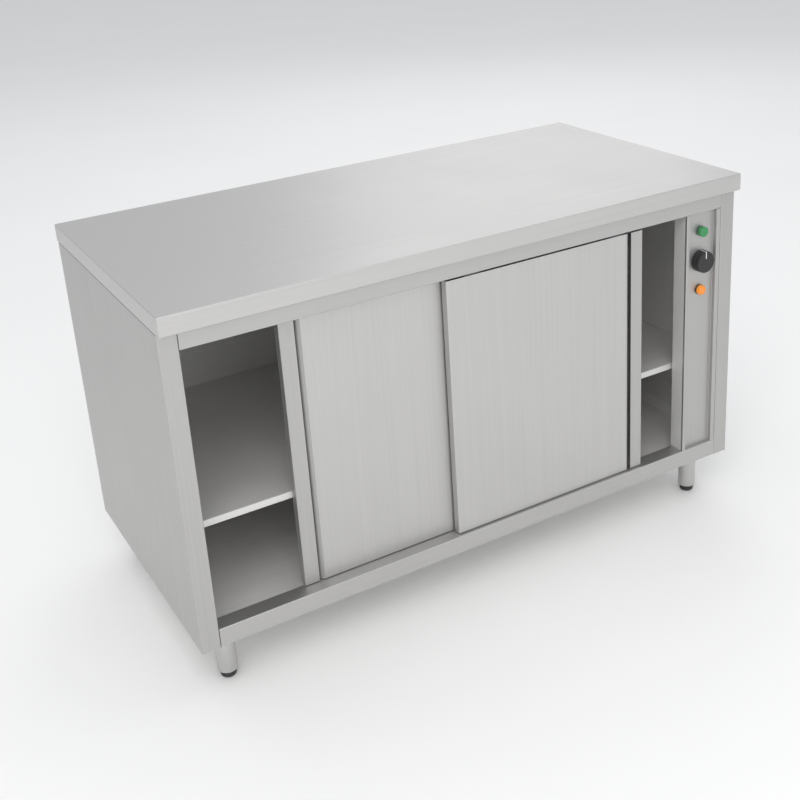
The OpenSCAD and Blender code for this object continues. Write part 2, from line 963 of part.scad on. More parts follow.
// ---- Legs ----
module leg_plates() {
  color("silver")
  difference() {
    for (p = leg_places)
      translate([p[0], p[1], 0])
      block([-plate_w / 2, -plate_w / 2, plate_z], [plate_w / 2, plate_w / 2, bottom]);
    bolt_holes(plate_z - cut, bottom + cut);
  }
}

// Tubes that are welded to the plates
module leg_tubes() {
  color("silver")
  for (p = leg_places)
    translate([p[0], p[1], tube_z])
    difference() {
      cylinder(d = leg_d, h = plate_z - tube_z);
      translate([0, 0, -cut]) cylinder(d = leg_d - 2 * leg_wall, h = plate_z - tube_z + 2 * cut);
    }
}

module leg_inserts() {
  spigot_d = leg_d - 2 * leg_wall;
  color("dimgray")
  for (p = leg_places)
    translate([p[0], p[1], 0])
    difference() {
      union() {
        translate([0, 0, cone_z]) cylinder(d1 = foot_d - 1, d2 = leg_d, h = cone_h);
        translate([0, 0, tube_z]) cylinder(d = spigot_d, h = insert_l);
      }
      translate([0, 0, cone_z - cut])
        cylinder(d = stem_d + 2 * fit, h = cone_h + insert_l + 2 * cut);
    }
}

// Hexagon bolts from below, each with its nut above the base
module leg_bolts() {
  color("gainsboro")
  for (p = leg_places)
    for (x = [-bolt_pitch / 2, bolt_pitch / 2])
      for (y = [-bolt_pitch / 2, bolt_pitch / 2])
        translate([p[0] + x, p[1] + y, 0]) {
          translate([0, 0, plate_z - bolt_head_h]) cylinder(d = nut_d, h = bolt_head_h, $fn = 6);
          translate([0, 0, plate_z - cut]) cylinder(d = bolt_d, h = plate_t + skin + nut_h + cut);
          translate([0, 0, bottom + skin]) cylinder(d = nut_d, h = nut_h, $fn = 6);
        }
}

module foot(i) {
  p = leg_places[i];
  round_r = 6;
  color("dimgray")
  translate([p[0], p[1], 0])
  union() {
    rotate_extrude()
    intersection() {
      union() {
        translate([0, round_r]) square([foot_d / 2, foot_h - round_r]);
        square([foot_d / 2 - round_r, foot_h]);
        translate([foot_d / 2 - round_r, round_r]) circle(r = round_r);
      }
      square([foot_d, foot_h]);
    }
    cylinder(d = stem_d, h = stem_l);
  }
}

module foot_front_left() { foot(0); }
module foot_front_right() { foot(1); }
module foot_back_left() { foot(2); }
module foot_back_right() { foot(3); }

// ---- Doors ----
// A door is drawn with its grip at x = 0 and its face at y = 0, and the right door is turned over
module at_left_door() {
  translate([left_door_x, rear_door_y, door_z0]) children();
}

module at_right_door() {
  translate([right_door_x + right_door_w, front_door_y, door_z0]) mirror([1, 0, 0]) children();
}

// Face with a return along the far edge and flanges beside the slots
module door_skin(w) {
  color("silver") {
    block([grip_w, 0, 0], [w, skin, door_h]);
    block([w - skin, 0, 0], [w, door_t - skin, door_h]);
    block([grip_w, 0, 0], [w, bottom_slot_y, skin]);
    block([grip_w, 0, door_h - skin], [w, top_slot_y, door_h]);
  }
}

module door_liner(w) {
  color("lightgray") {
    block([0, door_t - skin, 0], [w, door_t, door_h]);
    block([grip_w, bottom_slot_y + slot_w, 0], [w - skin, door_t, skin]);
    block([grip_w, top_slot_y + slot_w, door_h - skin], [w - skin, door_t, door_h]);
  }
}

module door_core(w) {
  color("khaki")
  block(
    [grip_w + core_gap, skin, guide_room],
    [w - skin, door_t - skin, door_h - block_drop - block_h]
  );
}

// Folded profile: lip, edge wall, flat back and the slant up to the face
module door_grip() {
  slant_x = grip_w - grip_depth * grip_slant;
  color("silver")
  linear_extrude(height = door_h)
  union() {
    square([lip_w, sheet]);
    square([sheet, door_t - skin]);
    translate([0, door_t - skin - sheet]) square([slant_x + sheet, sheet]);
    polygon([
      [grip_w, 0],
      [grip_w, sheet],
      [slant_x + sheet, door_t - skin],
      [slant_x, door_t - skin],
      [slant_x, grip_depth + skin],
      [grip_w - sheet, 0]
    ]);
  }
}

function hanger_places(w) = [hanger_in, w - hanger_in];

// Plates that carry the door, each on a block between the two skins, with a fixed axle
module door_hangers(w) {
  z_axle = axle_z - door_z0;
  mid = door_t / 2;
  head_d = axle_d + 2;
  axle_l = 2 * (roller_w + wheel_gap) + hanger_t + 2 * wheel_gap;
  color("gainsboro")
  for (x = hanger_places(w))
    translate([x, 0, 0]) {
      block(
        [-hanger_w / 2, skin, door_h - block_drop - block_h],
        [hanger_w / 2, door_t - skin, door_h - block_drop]
      );
      block(
        [-hanger_w / 2, mid - hanger_t / 2, door_h - block_drop - cut],
        [hanger_w / 2, mid + hanger_t / 2, z_axle + roller_d / 2]
      );
      translate([0, mid + axle_l / 2, z_axle])
        rotate([90, 0, 0]) cylinder(d = axle_d, h = axle_l);
      for (s = [-1, 1])
        translate([0, mid + s * (axle_l + head_t) / 2 + head_t / 2, z_axle])
          rotate([90, 0, 0]) cylinder(d = head_d, h = head_t);
    }
}

// Two wheels on one axle, one on each side of the hanger plate
module roller(w, i) {
  z_axle = axle_z - door_z0;
  mid = door_t / 2;
  color("whitesmoke")
  for (s = [-1, 1])
    translate([hanger_places(w)[i], mid + s * (hanger_t / 2 + wheel_gap + roller_w / 2), z_axle])
      rotate([90, 0, 0])
      difference() {
        cylinder(d = roller_d, h = roller_w, center = true);
        cylinder(d = axle_d + 2 * fit, h = roller_w + 2 * cut, center = true);
      }
}

module door_left_skin() { at_left_door() door_skin(left_door_w); }
module door_left_liner() { at_left_door() door_liner(left_door_w); }
module door_left_core() { at_left_door() door_core(left_door_w); }
module door_left_grip() { at_left_door() door_grip(); }
module door_left_hangers() { at_left_door() door_hangers(left_door_w); }
module door_right_skin() { at_right_door() door_skin(right_door_w); }
module door_right_liner() { at_right_door() door_liner(right_door_w); }
module door_right_core() { at_right_door() door_core(right_door_w); }
module door_right_grip() { at_right_door() door_grip(); }
module door_right_hangers() { at_right_door() door_hangers(right_door_w); }
module roller_left_a() { at_left_door() roller(left_door_w, 0); }
module roller_left_b() { at_left_door() roller(left_door_w, 1); }
module roller_right_a() { at_right_door() roller(right_door_w, 0); }
module roller_right_b() { at_right_door() roller(right_door_w, 1); }

worktop();
worktop_board();
worktop_channels();
side_skin_left();
side_skin_right();
side_liner_left();
side_liner_right();
side_insulation();
back_skin();
back_liner();
back_insulation();
top_rail();
bottom_rail();
door_track();
track_stops();
door_guides();
ceiling_liner();
ceiling_insulation();
floor_pan();
base_insulation();
base_skin();
heating_element();
element_clips();
shelf();
shelf_runners();
control_housing();
control_fascia();
thermostat_body();
thermostat_bulb();
thermostat_spindle();
thermostat_knob();
button_housing();
power_button();
lamp_holder();
lamp_lens();
terminal_block();
internal_cables();
cable_gland();
leg_plates();
leg_tubes();
leg_inserts();
leg_bolts();
door_left_skin();
door_left_liner();
door_left_core();
door_left_grip();
door_left_hangers();
door_right_skin();
door_right_liner();
door_right_core();
door_right_grip();
door_right_hangers();
roller_left_a();
roller_left_b();
roller_right_a();
roller_right_b();
foot_front_left();
foot_front_right();
foot_back_left();
foot_back_right();
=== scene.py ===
# %% [markdown]
# # A heated cupboard for plates
#
# A kitchen keeps its clean plates warm in a long steel cupboard like this one. It has a worktop, two
# sliding doors, a shelf, a narrow column for the controls and four feet.
#
# The CAD model gives every part its exact size and place. Its edges are sharp and it has no finish. This
# script keeps each part where it is and gives it what a workshop would: rolled folds in the sheet metal,
# weld beads, chamfers on turned parts, and a brushed, moulded or plated surface.

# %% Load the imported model
import json
import math

import bmesh
import bpy
from mathutils import Matrix, Vector


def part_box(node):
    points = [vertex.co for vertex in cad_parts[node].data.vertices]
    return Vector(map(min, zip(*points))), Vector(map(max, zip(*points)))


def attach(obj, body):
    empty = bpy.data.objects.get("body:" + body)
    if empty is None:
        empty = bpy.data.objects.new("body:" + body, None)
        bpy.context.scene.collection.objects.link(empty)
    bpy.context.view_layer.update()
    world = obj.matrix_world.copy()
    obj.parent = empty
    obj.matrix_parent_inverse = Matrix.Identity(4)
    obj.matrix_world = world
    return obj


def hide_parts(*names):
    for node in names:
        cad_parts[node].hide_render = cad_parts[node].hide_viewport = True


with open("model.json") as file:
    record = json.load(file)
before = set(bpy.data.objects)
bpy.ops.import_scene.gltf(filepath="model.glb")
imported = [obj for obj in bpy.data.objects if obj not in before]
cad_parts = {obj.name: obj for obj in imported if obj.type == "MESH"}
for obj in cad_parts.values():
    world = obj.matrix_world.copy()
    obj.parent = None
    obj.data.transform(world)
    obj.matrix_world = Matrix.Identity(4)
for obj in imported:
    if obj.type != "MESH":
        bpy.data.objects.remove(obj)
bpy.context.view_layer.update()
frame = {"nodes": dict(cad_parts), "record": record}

MM = 0.001
X = Vector((1, 0, 0))
Y = Vector((0, 1, 0))
Z = Vector((0, 0, 1))

# %% [markdown]
# ## The camera
#
# The reference is a drawing in strong perspective, seen from the front left and from above the worktop.
# The eye's place and direction were solved from the drawing's straight edges. The drawing's centre of
# perspective lies off its middle, so the camera uses a small shift, and a small roll takes up the rest.

# %% Camera
eye = Vector((-1.2386, -2.2843, 1.6241))
heading = math.radians(30.07)
tilt = math.radians(-20.62)
roll = math.radians(-3.22)
camera_data = bpy.data.cameras.new("camera")
camera_data.sensor_width = 36
camera_data.lens = 53.56
camera_data.shift_x = -0.05
camera_data.shift_y = -0.15
camera_data.clip_end = 100
camera = bpy.data.objects.new("camera", camera_data)
bpy.context.scene.collection.objects.link(camera)
bpy.context.scene.camera = camera
camera.matrix_world = (
    Matrix.Translation(eye)
    @ Matrix.Rotation(-heading, 4, "Z")
    @ Matrix.Rotation(math.pi / 2 + tilt, 4, "X")
    @ Matrix.Rotation(roll, 4, "Z")
)
print("camera: lens", camera_data.lens, "mm, eye", tuple(eye))

# %% [markdown]
# ## Writing materials as sums
#
# A shader is a graph of nodes. Graphs are hard to read as code, so two small classes hide them. `Number`
# wraps a socket, and Python's signs add the Math nodes: `0.3 + 0.1 * streaks` is a whole piece of graph.
# `Finish` is a material under construction. Its method `node` makes any other node from its type, its
# settings and the values or links of its sockets.

# %% Number and Finish
class Number:
    """A number that changes over a surface."""

    def __init__(self, finish, socket):
        self.finish = finish
        self.socket = socket

    def work_out(self, operation, first, second):
        made = self.finish.node("Math", {"operation": operation}, {0: first, 1: second})
        return Number(self.finish, made.outputs[0])

    def __add__(self, other):
        return self.work_out("ADD", self, other)

    def __radd__(self, other):
        return self.work_out("ADD", other, self)

    def __rsub__(self, other):
        return self.work_out("SUBTRACT", other, self)

    def __mul__(self, other):
        return self.work_out("MULTIPLY", self, other)

    def __rmul__(self, other):
        return self.work_out("MULTIPLY", other, self)

    def __gt__(self, other):
        return self.work_out("GREATER_THAN", self, other)

    def sine(self):
        return self.work_out("SINE", self, 0)


class Finish:
    """A material and the nodes that it is made of."""

    def __init__(self, name, **fixed):
        self.material = bpy.data.materials.new(name)
        self.material.use_nodes = True
        self.tree = self.material.node_tree
        self.surface = self.tree.nodes["Principled BSDF"]
        self.paint(**fixed)

    def plug(self, node, sockets):
        for name, value in sockets.items():
            socket = node.inputs[name]
            if isinstance(value, Number):
                value = value.socket
            if isinstance(value, bpy.types.NodeSocket):
                self.tree.links.new(value, socket)
            else:
                socket.default_value = value

    def node(self, kind, settings=None, sockets=None):
        made = self.tree.nodes.new("ShaderNode" + kind)
        for name, value in (settings or {}).items():
            setattr(made, name, value)
        self.plug(made, sockets or {})
        return made

    def place(self, scale=(1, 1, 1), centre=(0, 0, 0)):
        """The point on the piece, measured from a centre and stretched."""
        here = self.node("TexCoord").outputs["Object"]
        moved = self.node("VectorMath", {"operation": "SUBTRACT"}, {0: here, 1: centre}).outputs[0]
        return self.node("VectorMath", {"operation": "MULTIPLY"}, {0: moved, 1: scale}).outputs[0]

    def from_axis(self, point):
        """How far a point is from the line along Y through the centre."""
        flat = self.node("VectorMath", {"operation": "MULTIPLY"}, {0: point, 1: (1, 0, 1)}).outputs[0]
        return Number(self, self.node("VectorMath", {"operation": "LENGTH"}, {0: flat}).outputs["Value"])

    def noise(self, scale, detail=2.0):
        """A cloudy number from 0 to 1, whose clouds are 1 / scale metres long."""
        sockets = {"Vector": self.place(scale), "Scale": 1.0, "Detail": detail}
        return Number(self, self.node("TexNoise", None, sockets).outputs[0])

    def mix(self, factor, first, second):
        """A colour between two colours."""
        made = self.node("Mix", {"data_type": "RGBA"}, {0: factor, 6: first, 7: second})
        return made.outputs[2]

    def bump(self, height, depth):
        """The surface's direction where a pattern is pressed into it, depth metres deep."""
        made = self.node("Bump", None, {"Height": height, "Distance": depth, "Strength": 1.0})
        return made.outputs["Normal"]

    def paint(self, **sockets):
        """Sets the surface's sockets, whose names have spaces, and gives the material."""
        self.plug(self.surface, {socket.replace("_", " "): value for socket, value in sockets.items()})
        return self.material


print("material tools ready")

# %% [markdown]
# ## Brushed stainless steel
#
# The mill brushes its sheet with an abrasive belt, which leaves fine scratches along the sheet. They make
# the steel's gloss soft across the grain. Here a cloudy noise is drawn out along the grain: a fine one for
# the scratches, pressed in by some microns, and a wider one that varies the gloss in streaks. A third,
# slow noise stands for the faint film that hands and wiping leave. The slowest one bends the sheet by
# about a millimetre, because no thin sheet is quite flat, and its reflections show that. The grain
# follows the sheet, so the worktop and the rails have it along X, and the doors and the sides upright.
#
# Pure metal shows nothing but its surroundings, and the inside of a cupboard has little to show. So the
# outer sheets keep a small share of plain grey under the metal. The inner sheets, the shelf and the floor
# pan are brighter copies of the steel with a large share of grey: painted light for the dark inside.

# %% Brushed steel
def grain(axis, length, pitch):
    """How far noise is stretched: one cloud per length along the axis and one per pitch across it."""
    return [1 / length if name == axis else 1 / pitch for name in "XYZ"]


def brushed_steel(name, axis, light=0.55, gloss=0.33, metal=0.88):
    scratch_depth = 0.015 * MM
    wave_height = 1.2 * MM
    finish = Finish(name, Metallic=metal)
    scratches = finish.noise(grain(axis, length=90 * MM, pitch=0.35 * MM))
    streaks = finish.noise(grain(axis, length=600 * MM, pitch=5 * MM), detail=3.0)
    film = finish.noise((5, 5, 5), detail=4.0)
    waves = finish.noise((2.6, 2.6, 2.6), detail=1.0)
    bright = (light, light * 0.99, light * 0.972, 1)
    dull = (light * 0.86, light * 0.855, light * 0.845, 1)
    return finish.paint(
        Base_Color=finish.mix(0.65 * streaks + 0.25 * film, bright, dull),
        Roughness=gloss + 0.10 * scratches + 0.10 * streaks + 0.08 * film,
        Normal=finish.bump(scratch_depth * scratches + wave_height * waves, 1.0),
    )


steel_along = brushed_steel("steel brushed along", "X")
steel_upright = brushed_steel("steel brushed upright", "Z", light=0.53)
steel_door = brushed_steel("door steel", "Z", light=0.6, gloss=0.31)
steel_top = brushed_steel("worktop steel", "X", light=0.62, gloss=0.29)
# The inner, shelf and tray steel are brighter, less metallic copies of the steel: painted light for the
# dark inside.
steel_inside_painted_light = brushed_steel("inner steel painted light", "X", light=0.82, gloss=0.42, metal=0.35)
steel_shelf_painted_light = brushed_steel("shelf steel painted light", "X", light=0.74, gloss=0.38, metal=0.35)
steel_tray_painted_light = brushed_steel("tray steel painted light", "X", light=0.92, gloss=0.36, metal=0.35)
print("brushed steel: along, upright, door, worktop, inside, shelf and tray")

# %% [markdown]
# ## Other metals
#
# The leg tubes are drawn steel, with fine lines along the tube. Bolts and hangers are zinc plated, which
# shows as small crystals. The track is a raw extrusion with die lines along it. The heating element's
# sheath has turned dark from heat, and the sensor is dull copper.

# %% Zinc, aluminium, sheath and copper
def plated(name, light):
    finish = Finish(name, Metallic=1.0)
    crystals_per_metre = 400.0
    bright = (light, light, light * 1.02, 1)
    dull = (light * 0.82, light * 0.83, light * 0.86, 1)
    sockets = {"Vector": finish.place(), "Scale": crystals_per_metre}
    spangle = finish.node("TexVoronoi", None, sockets).outputs["Color"]
    tone = Number(finish, finish.node("RGBToBW", None, {0: spangle}).outputs[0])
    haze = finish.noise((60, 60, 60))
    return finish.paint(
        Base_Color=finish.mix(tone, bright, dull),
        Roughness=0.32 + 0.12 * tone + 0.1 * haze,
    )


def drawn_metal(name, colour, axis, gloss):
    finish = Finish(name, Metallic=1.0)
    lines = finish.noise(grain(axis, length=300 * MM, pitch=0.8 * MM))
    stain = finish.noise((18, 18, 18), detail=4.0)
    darker = [channel * 0.72 for channel in colour[:3]] + [1]
    return finish.paint(
        Base_Color=finish.mix(0.4 * lines + 0.4 * stain, colour, darker),
        Roughness=gloss + 0.12 * lines + 0.1 * stain,
        Normal=finish.bump(lines, 0.02 * MM),
    )


zinc = plated("zinc plate", 0.6)
aluminium = drawn_metal("raw aluminium", (0.72, 0.73, 0.74, 1), "X", 0.3)
tube_steel = drawn_metal("leg tube steel", (0.62, 0.615, 0.6, 1), "Z", 0.2)
sheath = drawn_metal("element sheath", (0.16, 0.15, 0.14, 1), "X", 0.5)
copper = drawn_metal("dull copper", (0.68, 0.36, 0.22, 1), "Z", 0.35)
weld_steel = drawn_metal("weld bead", (0.5, 0.49, 0.47, 1), "Z", 0.3)
print("other metals: zinc, aluminium, tube, sheath, copper and weld")

# %% [markdown]
# ## Plastics, rubber and ceramic
#
# Moulded plastic has a fine spark-eroded grain, which a small noise presses into the surface. Its colour
# barely varies, and its gloss varies a little more.

# %% Moulded finishes
def moulded(name, colour, gloss, texture=0.03, clouds=2200.0, **fixed):
    finish = Finish(name, **fixed)
    pores = finish.noise((clouds, clouds, clouds))
    wear = finish.noise((35, 35, 35), detail=4.0)
    lighter = [min(1, channel * 1.25 + 0.01) for channel in colour[:3]] + [1]
    return finish.paint(
        Base_Color=finish.mix(0.5 * wear, colour, lighter),
        Roughness=gloss + 0.12 * wear + 0.06 * pores,
        Normal=finish.bump(pores, texture * MM),
    )


black_plastic = moulded("black plastic", (0.018, 0.018, 0.019, 1), 0.38)
foot_plastic = moulded("foot plastic", (0.03, 0.03, 0.032, 1), 0.55, texture=0.08)
green_plastic = moulded("green button plastic", (0.02, 0.24, 0.07, 1), 0.18, Coat_Weight=0.4)
nylon = moulded("natural nylon", (0.8, 0.79, 0.74, 1), 0.35, Subsurface_Weight=0.1)
ceramic = moulded("ivory ceramic", (0.74, 0.7, 0.6, 1), 0.3)
rubber = moulded("black rubber", (0.02, 0.02, 0.02, 1), 0.7, texture=0.1)
grey_sheath = moulded("grey cable sheath", (0.22, 0.22, 0.23, 1), 0.5)
wool = moulded("mineral wool", (0.5, 0.44, 0.24, 1), 0.9, texture=1.5, clouds=500.0)
board = moulded("raw board", (0.42, 0.3, 0.18, 1), 0.8, texture=0.3, clouds=400.0)
print("moulded: black, foot, green, nylon, ceramic, rubber, cable sheath, wool and board")

# %% [markdown]
# ## Amber lens
#
# A pilot lamp's lens has rings pressed into its back, which spread the light of a tiny lamp. The rings are
# a sine of the distance from the lens's middle. The lens lets some light through and glows faintly.

# %% Lens
def lens_finish(node):
    low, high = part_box(node)
    middle = (low + high) / 2
    finish = Finish("amber lens", Transmission_Weight=0.35, IOR=1.49, Coat_Weight=0.5)
    ring_pitch = 1.5 * MM
    out = finish.from_axis(finish.place(centre=tuple(middle)))
    rings = (out * (2 * math.pi / ring_pitch)).sine()
    return finish.paint(
        Base_Color=finish.mix(0.5 + 0.5 * rings, (0.95, 0.36, 0.03, 1), (0.8, 0.22, 0.01, 1)),
        Roughness=0.12 + 0.06 * finish.noise((60, 60, 60)),
        Normal=finish.bump(rings, 0.12 * MM),
        Emission_Color=(1.0, 0.35, 0.03, 1),
        Emission_Strength=0.25,
    )


amber = lens_finish("lamp_lens")
print("amber lens ready")

# %% [markdown]
# ## Every CAD node gets its finish first
#
# The record gives each node a material slot. One table from slot to finish dresses all the nodes, also
# those that can't be seen. The visible ones are then replaced, or keep their CAD shape where it is right.

# %% Finish of each slot
slot_finish = {
    "worktop_steel": steel_top,
    "board": board,
    "inner_steel": steel_inside_painted_light,
    "outer_steel": steel_upright,
    "door_steel": steel_door,
    "wool": wool,
    "track_aluminium": aluminium,
    "rubber": rubber,
    "nylon": nylon,
    "element_sheath": sheath,
    "zinc_steel": zinc,
    "ceramic_body": ceramic,
    "copper_bulb": copper,
    "knob_black": black_plastic,
    "button_green": green_plastic,
    "lamp_amber": amber,
    "cable_grey": grey_sheath,
    "leg_steel": tube_steel,
    "foot_black": foot_plastic,
}
slot_of = {part["node"]: part["material_slot"] for part in frame["record"]["subparts"]}
body_of = {node: body for body, nodes in frame["record"]["behaviour"]["bodies"].items() for node in nodes}
for node, solid in frame["nodes"].items():
    solid.data.materials.clear()
    solid.data.materials.append(slot_finish[slot_of[node]])
print("dressed", len(frame["nodes"]), "nodes from", len(slot_finish), "slots")

# %% [markdown]
# ## Tools for sheet metal
#
# A folded sheet is a line of corner points, drawn out to its length, with each fold rolled to a radius and
# the whole given the sheet's thickness. The thickness goes inwards, so the outside keeps the CAD size.
# A tray is a box with one or two sides missing, treated in the same way. Every finished piece takes the
# weighted-normal modifier, because a wide flat face beside a narrow rolled edge would otherwise be shaded
# as if it were bent.

# %% Piece, folds and soften
def piece(name, shape, finish, *stands_for, angle=35):
    """Makes the shape an object on the body of the CAD nodes that it stands for.

    Its edges stay sharp where they turn by more than the angle, in degrees.
    """
    mesh = bpy.data.meshes.new(name)
    shape.to_mesh(mesh)
    shape.free()
    made = bpy.data.objects.new(name, mesh)
    bpy.context.scene.collection.objects.link(made)
    mesh.materials.append(finish)
    mesh.shade_smooth()
    mesh.set_sharp_from_angle(angle=math.radians(angle))
    weighted = made.modifiers.new("flat faces stay flat", "WEIGHTED_NORMAL")
    weighted.keep_sharp = True
    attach(made, body_of[stands_for[0]])
    print(name, "has", len(mesh.polygons), "faces")
    return made


def replacement(name, shape, finish, *stands_for, angle=35):
    made = piece(name, shape, finish, *stands_for, angle=angle)
    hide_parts(*stands_for)
    return made


def folds(faces):
    """Edges where two of the faces meet at an angle."""
    flattest = math.radians(20)
    edges = {edge for face in faces for edge in face.edges if len(edge.link_faces) == 2}
    return [edge for edge in edges if edge.calc_face_angle() > flattest]


def soften(shape, radius, edges, steps):
    """Rounds the edges, each with a few narrow faces."""
    bmesh.ops.bevel(
        shape,
        geom=edges,
        offset=radius,
        segments=steps,
        profile=0.5,
        affect="EDGES",
        material=-1,
        clamp_overlap=True,
    )


# %% Folded sheet, tray and block
def rolled(shape, faces, radius, sheet):
    """Rolls the folds between the faces and gives them the sheet's thickness."""
    others = set(shape.faces) - set(faces)
    soften(shape, radius, folds(faces), steps=4)
    sheets = [face for face in shape.faces if face not in others]
    bmesh.ops.solidify(shape, geom=sheets, thickness=sheet)


def folded(shape, path, run, outside, sheet, radius=2 * MM):
    """Adds a sheet folded along the path and drawn out along run. Its first strip faces outside."""
    corners = [shape.verts.new(point) for point in path]
    lines = [shape.edges.new(pair) for pair in zip(corners, corners[1:])]
    drawn = bmesh.ops.extrude_edge_only(shape, edges=lines)["geom"]
    ends = [item for item in drawn if isinstance(item, bmesh.types.BMVert)]
    faces = [item for item in drawn if isinstance(item, bmesh.types.BMFace)]
    bmesh.ops.translate(shape, verts=ends, vec=run)
    bmesh.ops.recalc_face_normals(shape, faces=faces)
    if lines[0].link_faces[0].normal.dot(outside) < 0:
        bmesh.ops.reverse_faces(shape, faces=faces)
    rolled(shape, faces, radius, sheet)


def box_faces(shape, low, high):
    """Adds a plain box between two corners and gives its faces."""
    low, high = Vector(low), Vector(high)
    size = Matrix.Diagonal((*(high - low), 1))
    at = Matrix.Translation((low + high) / 2)
    made = bmesh.ops.create_cube(shape, size=1, matrix=at @ size)
    return list({face for corner in made["verts"] for face in corner.link_faces})


def block(shape, low, high, radius=0.3 * MM):
    """Adds a solid block with eased edges."""
    faces = box_faces(shape, low, high)
    soften(shape, radius, folds(faces), steps=2)


def tray(shape, low, high, open_sides, sheet, radius, hem=0):
    """Adds a box of sheet metal with open sides. A hem is a rim turned in round the first of them."""
    faces = box_faces(shape, low, high)
    old = set(shape.faces) - set(faces)
    for side in open_sides:
        lid = max(faces, key=lambda face: face.normal.dot(side))
        if hem and side is open_sides[0]:
            bmesh.ops.inset_region(shape, faces=[lid], thickness=hem)
        bmesh.ops.delete(shape, geom=[lid], context="FACES_ONLY")
        faces = [face for face in shape.faces if face not in old]
    loose = [edge for edge in shape.edges if not edge.link_faces]
    bmesh.ops.delete(shape, geom=loose, context="EDGES")
    rolled(shape, faces, radius, sheet)


print("sheet metal tools ready")

# %% [markdown]
# ## Tools for turned parts
#
# A lathe makes a round part from its half outline. `bmesh.ops.spin` does the same: it turns a line of
# points about an axis. Each point is a radius and a distance along the axis.

# %% Turned part and hexagon
def front_middle(low, high, y):
    """The middle of a box seen from the front, at a given depth."""
    return Vector(((low.x + high.x) / 2, y, (low.z + high.z) / 2))


def turned(shape, outline, centre, axis, steps=64, radius=0, rounds=3):
    """Adds a solid of revolution. With a radius, its clear corners are rounded to it."""
    clear_corner = math.radians(30)
    same_point = 0.01 * MM
    side = axis.orthogonal().normalized()
    old = set(shape.faces)
    points = [shape.verts.new(centre + side * out + axis * along) for out, along in outline]
    lines = [shape.edges.new(pair) for pair in zip(points, points[1:])]
    if outline[0][0] > 0 and outline[-1][0] > 0:
        lines.append(shape.edges.new((points[-1], points[0])))
    bmesh.ops.spin(
        shape,
        geom=points + lines,
        cent=centre,
        axis=axis,
        angle=2 * math.pi,
        steps=steps,
        use_merge=True,
    )
    fresh = [face for face in shape.faces if face not in old]
    corners = list({corner for face in fresh for corner in face.verts})
    bmesh.ops.remove_doubles(shape, verts=corners, dist=same_point)
    fresh = [face for face in shape.faces if face not in old]
    bmesh.ops.recalc_face_normals(shape, faces=fresh)
    if radius:
        sharp = [edge for edge in folds(fresh) if edge.calc_face_angle() > clear_corner]
        soften(shape, radius, sharp, rounds)


def hexagon(shape, centre, axis, across, height):
    """Adds a nut or bolt head, whose far end is chamfered."""
    chamfer = 0.6 * MM
    turn = Z.rotation_difference(axis).to_matrix().to_4x4()
    made = bmesh.ops.create_cone(
        shape,
        cap_ends=True,
        segments=6,
        radius1=across / 2,
        radius2=across / 2,
        depth=height,
        matrix=Matrix.Translation(centre + axis * height / 2) @ turn,
    )
    faces = list({face for corner in made["verts"] for face in corner.link_faces})
    top = max(faces, key=lambda face: face.normal.dot(axis))
    soften(shape, chamfer, list(top.edges), steps=2)


print("lathe and hexagon ready")

# %% [markdown]
# ## Worktop
#
# One sheet is folded down on all four sides and then in underneath, so that no cut edge can be touched.
# It starts as a box without its underside, with a rim that stands for the return. The corners are welded
# and ground to the same small radius as the folds.

# %% Worktop
worktop_sheet = 1.5 * MM
worktop_return = 15 * MM
shape = bmesh.new()
low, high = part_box("worktop")
tray(shape, low, high, [-Z], worktop_sheet, radius=2.5 * MM, hem=worktop_return)
replacement("worktop_folded", shape, steel_top, "worktop")

# %% [markdown]
# ## Sides with their posts
#
# Each side is one sheet: a flange behind, the side itself, the front of the post, its return and a strip
# to the inner wall. Seen from above it is a line with four folds, drawn out to the cabinet's height. Two
# small plates close its lower end. The left side has the sign -1 and the right side, its mirror image, 1.

# %% Sides
skin = 1 * MM
plate_ease = 0.2 * MM
side_low, side_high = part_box("side_skin_left")
liner_low, liner_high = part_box("side_liner_left")


def side(sign):
    shape = bmesh.new()
    outer, post, wall = (sign * abs(x) for x in (side_low.x, side_high.x, liner_high.x))
    front, frame_back, back = side_low.y, liner_low.y, side_high.y
    bottom, top = side_low.z, side_high.z
    plan = [
        (wall, back),
        (outer, back),
        (outer, front),
        (post, front),
        (post, frame_back),
        (wall, frame_back),
    ]
    folded(shape, [(x, y, bottom) for x, y in plan], (0, 0, top - bottom), Y, skin)
    plates = [(outer - sign * skin, wall, back), (wall, post - sign * skin, frame_back)]
    for first, second, end in plates:
        x0, x1 = sorted((first, second))
        block(shape, (x0, front + skin, bottom), (x1, end - skin, bottom + skin), plate_ease)
    return shape


replacement("side_left_folded", side(-1), steel_upright, "side_skin_left")
replacement("side_right_folded", side(1), steel_upright, "side_skin_right")

# %% [markdown]
# ## Back
#
# The back is a shallow tray that closes the cabinet. Blind rivets hold its edges to the flanges of the
# sides and of the base. A rivet is a small dome with the dimple that its pulled pin leaves.

# %% Back tray
shape = bmesh.new()
back_low, back_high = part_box("back_skin")
tray(shape, back_low, back_high, [-Y], skin, radius=1.5 * MM)
replacement("back_tray", shape, steel_along, "back_skin")

# %% Rivets
def spaced(first, last, count):
    """Evenly spaced places, both ends included."""
    return [first + (last - first) * step / (count - 1) for step in range(count)]


rivet_margin = 12 * MM
row_margin = 40 * MM
column_margin = 160 * MM
rows = spaced(back_low.z + row_margin, back_high.z - row_margin, 5)
columns = spaced(back_low.x + column_margin, back_high.x - column_margin, 6)
ends = (back_low.x + rivet_margin, back_high.x - rivet_margin)
places = [(x, back_high.y, z) for x in ends for z in rows]
places += [(x, back_high.y, back_low.z + rivet_margin) for x in columns]
dome = [
    (0, 0.3 * MM),
    (1.1 * MM, 0.3 * MM),
    (1.5 * MM, 1.3 * MM),
    (3.2 * MM, 0.9 * MM),
    (4 * MM, 0),
    (0, 0),
]
shape = bmesh.new()
for place in places:
    turned(shape, dome, Vector(place), Y, steps=16)
piece("back_rivets", shape, zinc, "back_skin")
print("rivets:", len(places))

